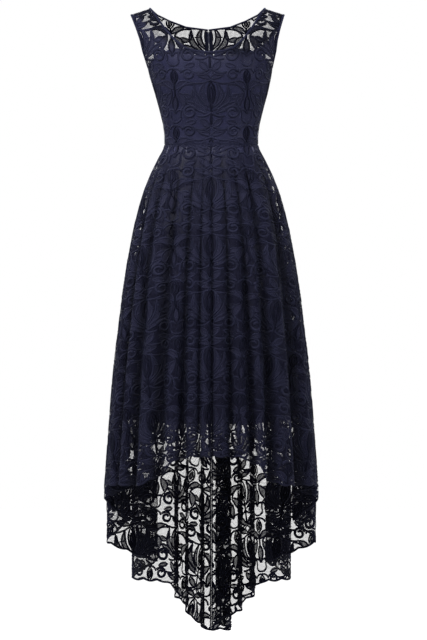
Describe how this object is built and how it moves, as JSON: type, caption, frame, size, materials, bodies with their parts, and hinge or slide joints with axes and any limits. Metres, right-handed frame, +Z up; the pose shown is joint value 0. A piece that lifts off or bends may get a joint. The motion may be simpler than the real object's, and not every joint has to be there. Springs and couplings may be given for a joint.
{
  "type": "lace bridesmaid dress",
  "caption": "Sleeveless navy lace dress with a scooped sheer yoke, satin lining, softly folded skirt, high-low hem and a concealed back zip.",
  "frame": {"origin": "between the two shoulder straps at shoulder height, in the plane of the side seams, where the dress is held up", "axes": "+Z up, the front of the dress faces -Y, the wearer's left side is at +X"},
  "size_m": [0.4925, 0.4813, 1.4387],
  "materials": {
    "navy_lace": "matte corded lace on fine net",
    "navy_satin": "soft satin sheen",
    "navy_binding": "matte woven binding and zip tape",
    "dark_metal": "navy lacquer on zinc",
    "coil": "nylon coil"
  },
  "bodies": {
    "dress": {"bodice_front_lace": "navy_lace", "bodice_back_lace_left": "navy_lace", "bodice_back_lace_right": "navy_lace", "bodice_front_lining": "navy_satin", "bodice_back_lining_left": "navy_satin", "bodice_back_lining_right": "navy_satin", "skirt_front_lace": "navy_lace", "skirt_back_lace_left": "navy_lace", "skirt_back_lace_right": "navy_lace", "skirt_front_lining": "navy_satin", "skirt_back_lining_left": "navy_satin", "skirt_back_lining_right": "navy_satin", "neck_binding_front": "navy_binding", "neck_binding_back_left": "navy_binding", "neck_binding_back_right": "navy_binding", "armhole_binding_front_left": "navy_binding", "armhole_binding_front_right": "navy_binding", "armhole_binding_back_left": "navy_binding", "armhole_binding_back_right": "navy_binding", "zip_tape_left": "navy_binding", "zip_tape_right": "navy_binding", "zip_chain": "coil", "zip_slider": "dark_metal"},
    "pull_tab": {"zip_pull_tab": "dark_metal"}
  },
  "joints": [
    {"name": "pull_tab_hinge", "type": "hinge", "parent": "dress", "child": "pull_tab", "pos_m": [-0.00644, 0.08505, -0.05226], "axis": [1, 0, 0], "range_deg": [0, 150]}
  ]
}
